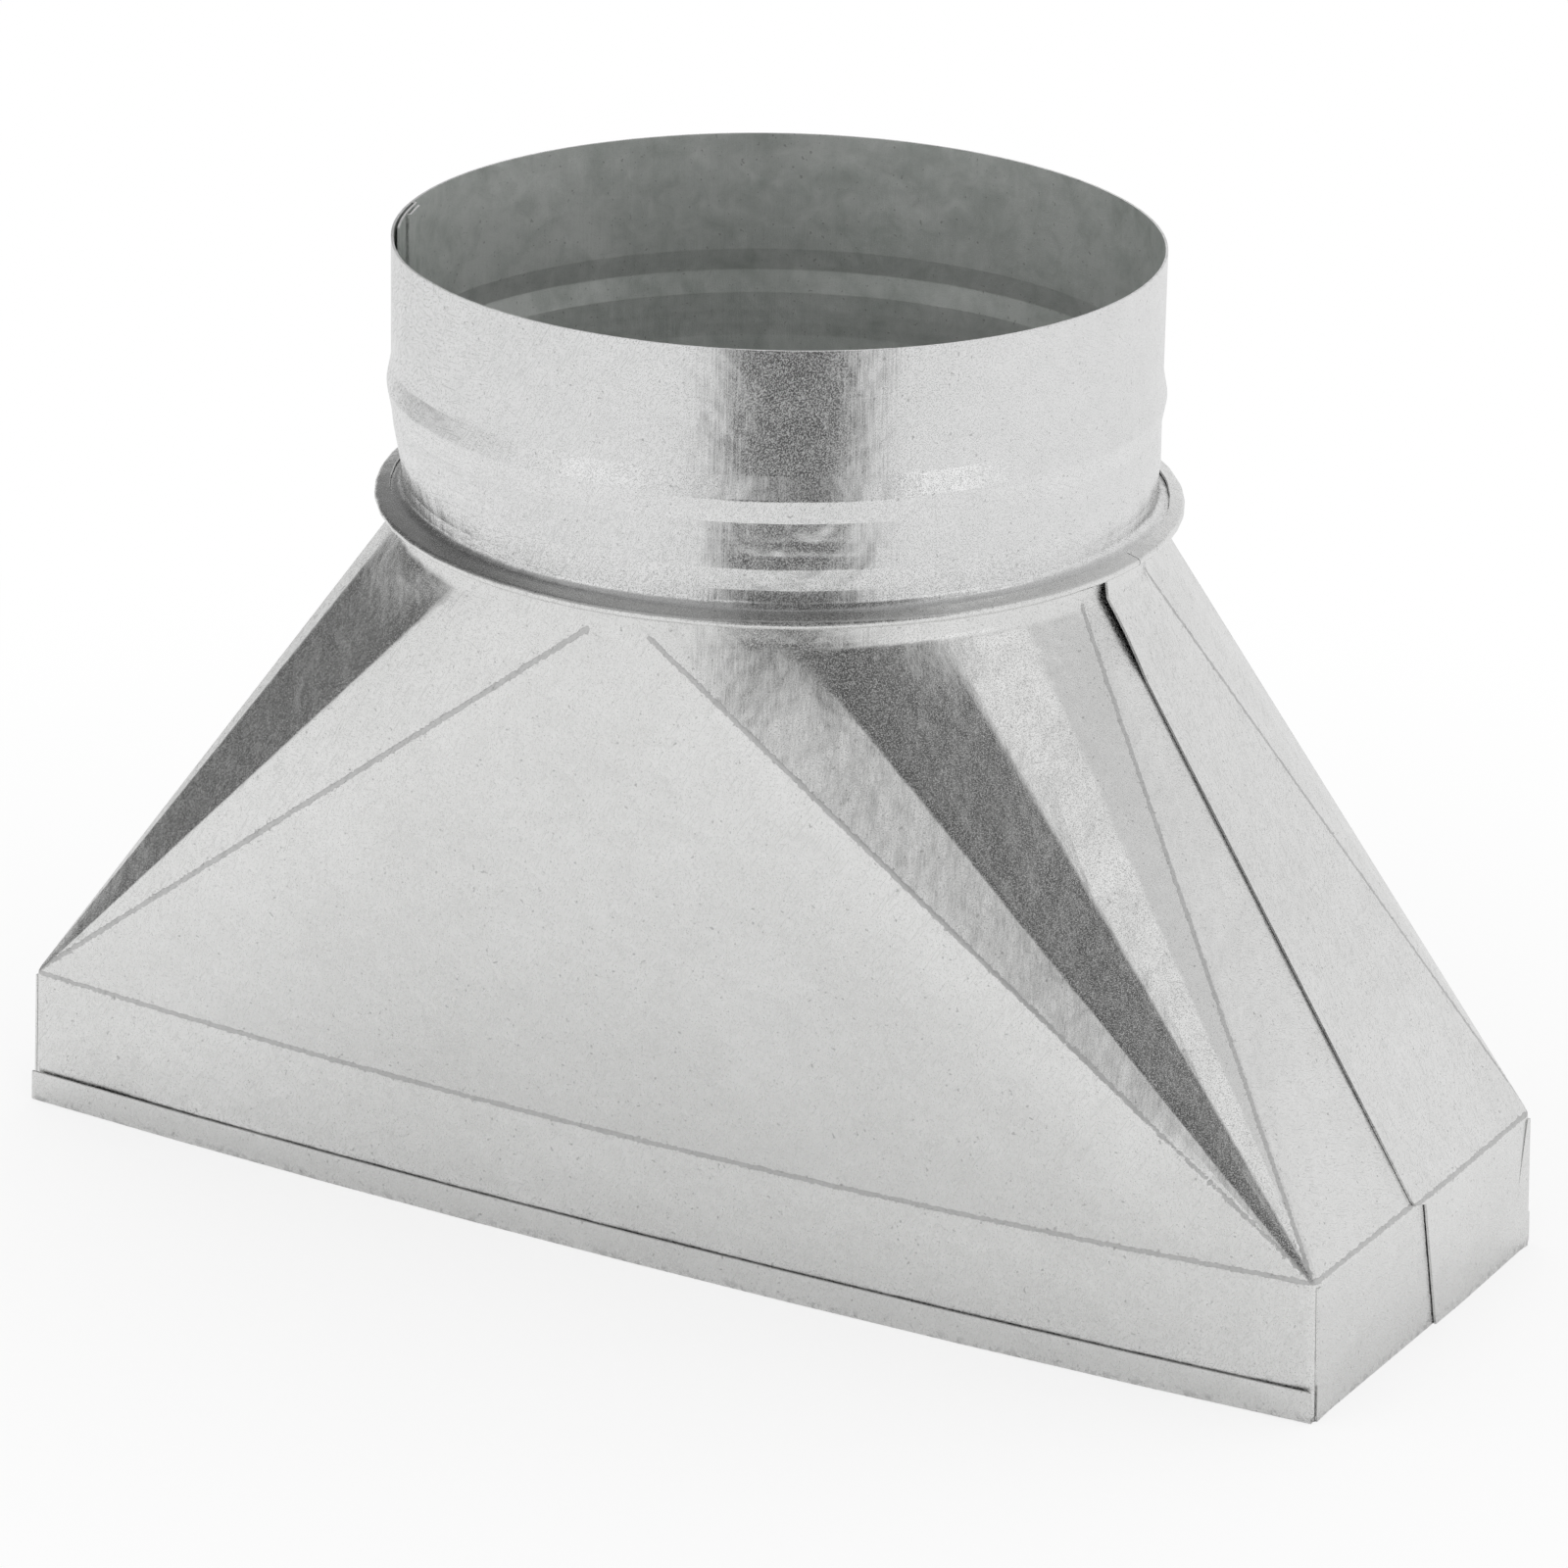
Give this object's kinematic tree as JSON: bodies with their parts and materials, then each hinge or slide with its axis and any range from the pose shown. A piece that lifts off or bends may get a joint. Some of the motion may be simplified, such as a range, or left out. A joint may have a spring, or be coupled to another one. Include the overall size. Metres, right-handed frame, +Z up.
{
  "type": "register boot",
  "caption": "Straight register boot: a beaded round collar hemmed onto a folded sheet-metal body that spreads into a long rectangular mouth.",
  "frame": {"origin": "centre of the rectangular mouth, in the plane of its rim", "axes": "+X along the long side of the mouth, +Z up the axis of the round collar, the front body half towards -Y"},
  "size_m": [0.3054, 0.1644, 0.2038],
  "materials": {
    "body_sheet": "pale galvanised sheet, satin, with fine scratches and cracked zinc along the folds",
    "collar_sheet": "pale galvanised sheet, satin, cloudy inside the collar"
  },
  "bodies": {
    "root": {"body_front": "body_sheet", "body_rear": "body_sheet", "round_collar": "collar_sheet"}
  },
  "joints": []
}
